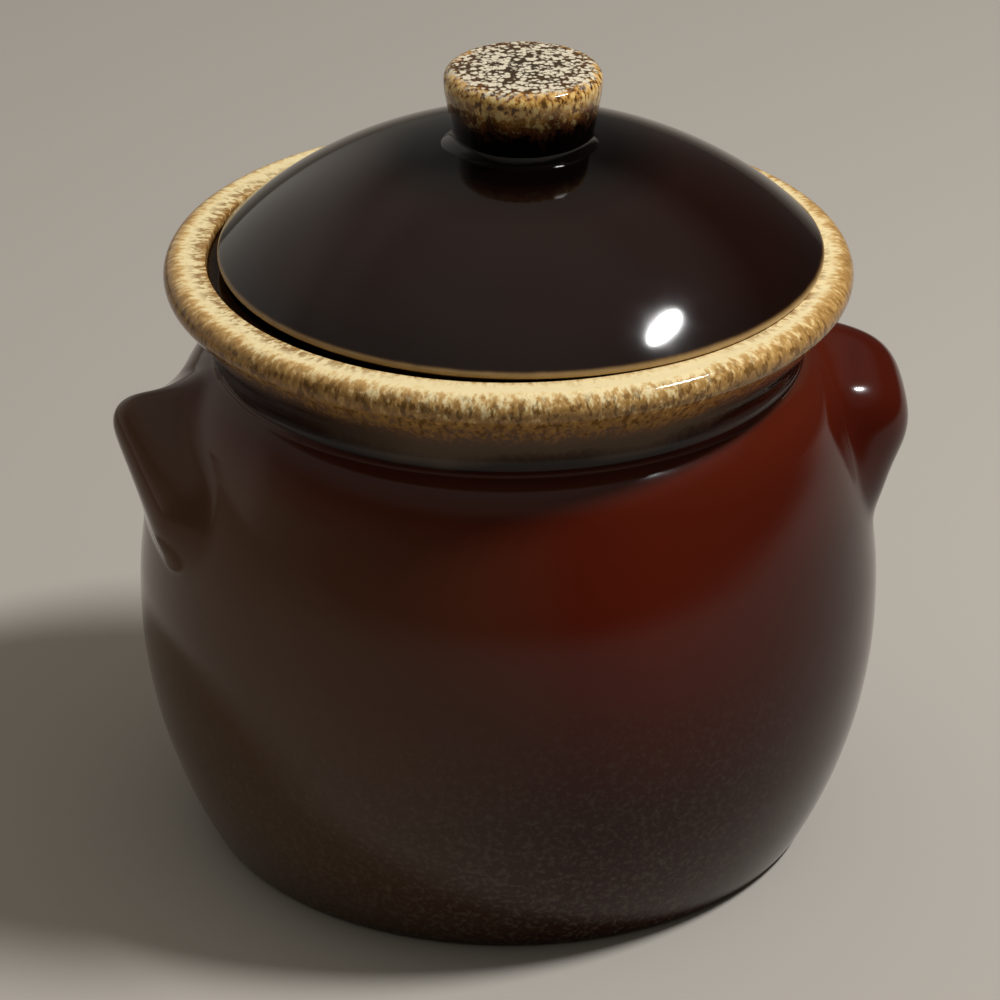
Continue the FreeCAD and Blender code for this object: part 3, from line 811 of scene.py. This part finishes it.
def knobProfile():
    p = knobShape
    out, low, sunk = p["waist"][0] + p["pool"], p["under"], p["sunk"]
    runs = [  # a number between two runs is the radius of the corner there
        lineRun((0, low - sunk), (out - sunk, low - sunk), 3),
        lineRun((out - sunk, low - sunk), (out, low), 0.5),
        tangentRun(p["waist"], -90, (out, low + 0.02), 0.25)[::-1], p["waistRound"],
        lineRun(p["waist"], p["cheek"], 0.5),
        tangentRun((p["radius"], p["widest"]), -90, p["cheek"], 0.3)[::-1],
        tangentRun((p["radius"], p["widest"]), 90, p["crownEdge"], 0.3), p["crownRound"],
        tangentRun((0, p["top"]), 0, p["crownEdge"], 0.8)[::-1],
    ]
    path = joinRuns(runs)
    along = walked(path)
    return path, along[-1] - along


def poolSpill(angle, height, slope):
    # the pool spreads furthest to the left and to the front right, and only near the foot
    top, depth = knobShape["spillTop"], knobShape["spillDepth"]
    left, right = knobShape["spill"]
    share = np.clip((top - height) / depth, 0, 1) ** 2
    toLeft = np.clip(-np.cos(angle), 0, 1)
    toRight = np.clip(np.cos(angle + knobShape["spillTurn"]), 0, 1)
    narrow = knobShape["spillNarrow"]
    return -share * (left * toLeft ** narrow + right * toRight ** narrow)


knobPath, knobAlong = knobProfile()
lidKnob = throwPiece("lidKnob", knobPath, knobAlong, knobGlaze, knobShape["segments"], knobShape["girth"],
                     knobShape["axis"], poolSpill)
print("knob thrown:", len(lidKnob.data.polygons), "faces")

for piece, body, node, slot in (
        (potBody, "pot", "pot_body", "pot_glaze"), (lugRight, "pot", "lug_handle_right", "pot_glaze"),
        (lugLeft, "pot", "lug_handle_left", "pot_glaze"), (lidShell, "lid", "lid_shell", "lid_glaze"),
        (lidKnob, "lid", "lid_knob", "knob_glaze")):
    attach(piece, body)
    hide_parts(node)


# Floor, light and camera
studio = {
    "floor": "#b9b3aa", "floorShade": "#aea89f", "floorSize": 12.0,
    "keyPlace": (0.709, -0.193, 1.241), "keyAim": (0.0, 0.0, 0.1), "keySize": (0.10, 0.32), "keyPower": 16.0,
    "keyRoll": 1.3,  # radians, turns the long lamp so that its reflection lies as on the real lid
    "toBright": (-0.671, 0.742, 0.0),  # the pale side of the room, behind the pot and to the left
    "room": [(-1.0, 0.03), (0.0, 0.03), (0.3, 0.05), (0.53, 0.085), (0.7, 0.175), (0.85, 0.46), (1.0, 0.48)],
    "roomTint": (1.0, 0.94, 0.84),
    "ceiling": [(0.0, 0.0), (0.5, 0.0), (0.8, 0.25), (1.0, 0.42)],
    "target": (0.0, 0.0, 0.07083), "distance": 1.14903,  # metres
    "elevation": 27.146, "turn": 11.0,  # degrees, the photograph's viewing angle
    "lens": 180.0, "shift": (-0.0085, 0.0224),  # mm, and shares of the frame
}


def makeFloor():
    material, tree = newMaterial("paperSweepMatt")
    place = addNode(tree, "TexCoord", give="Object")
    tone = addNode(tree, "TexNoise", {"Vector": place, "Scale": 3.0, "Detail": 2.0}, "Fac")
    tone = addNode(tree, "MapRange", {0: tone, 1: 0.3, 2: 0.7, 4: 0.06}, 0)
    base = overlay(tree, studio["floor"], studio["floorShade"], tone)
    shader = addNode(tree, "BsdfPrincipled", {
        "Base Color": base, "Roughness": 0.9, "Specular IOR Level": 0.2}, 0)
    addNode(tree, "OutputMaterial", {"Surface": shader})
    mesh = bpy.data.meshes.new("floor")
    half = studio["floorSize"] / 2
    corners = [(-half, -half, 0), (half, -half, 0), (half, half, 0), (-half, half, 0)]
    mesh.from_pydata(corners, [], [(0, 1, 2, 3)])
    mesh.materials.append(material)
    floor = bpy.data.objects.new("floor", mesh)
    scene.collection.objects.link(floor)


def makeRoom():
    world = bpy.data.worlds.new("room")
    scene.world = world
    world.use_nodes = True
    tree = world.node_tree
    tree.nodes.clear()
    way = addNode(tree, "TexCoord", give="Generated")
    toward = addNode(tree, "VectorMath", {0: way, 1: studio["toBright"]}, "Value", operation="DOT_PRODUCT")
    height = addNode(tree, "SeparateXYZ", {0: way}, "Z")
    bright = readBands(tree, toward, studio["room"], "EASE")
    overhead = readBands(tree, height, studio["ceiling"], "EASE")
    glow = addNode(tree, "VectorMath", {0: bright, 1: overhead}, 0, operation="ADD")
    glow = addNode(tree, "VectorMath", {0: glow, 1: studio["roomTint"]}, 0, operation="MULTIPLY")
    background = addNode(tree, "Background", {"Color": glow, "Strength": 1.0}, 0)
    addNode(tree, "OutputWorld", {"Surface": background})


def addLamp(name, place, size, power, roll):
    lamp = bpy.data.lights.new(name, "AREA")
    lamp.shape = "ELLIPSE"
    lamp.size, lamp.size_y = size
    lamp.energy = power
    thing = bpy.data.objects.new(name, lamp)
    thing.location = place
    aim = (Vector(place) - Vector(studio["keyAim"])).to_track_quat("Z", "Y")
    thing.rotation_euler = (aim @ Quaternion((0, 0, 1), roll)).to_euler()
    scene.collection.objects.link(thing)


def makeCamera():
    camera = bpy.data.cameras.new("camera")
    camera.lens = studio["lens"]
    camera.sensor_width = 36  # mm
    camera.shift_x, camera.shift_y = studio["shift"]
    camera.clip_end = 50  # metres
    tilt, turn = math.radians(studio["elevation"]), math.radians(studio["turn"])
    way = Vector((-math.sin(turn) * math.cos(tilt), -math.cos(turn) * math.cos(tilt), math.sin(tilt)))
    thing = bpy.data.objects.new("camera", camera)
    thing.location = Vector(studio["target"]) + way * studio["distance"]
    thing.rotation_euler = way.to_track_quat("Z", "Y").to_euler()
    scene.collection.objects.link(thing)
    scene.camera = thing


makeFloor()
makeRoom()
addLamp("keyLamp", studio["keyPlace"], studio["keySize"], studio["keyPower"], studio["keyRoll"])
makeCamera()
scene.view_settings.view_transform = "Standard"
print("floor, light and camera set")
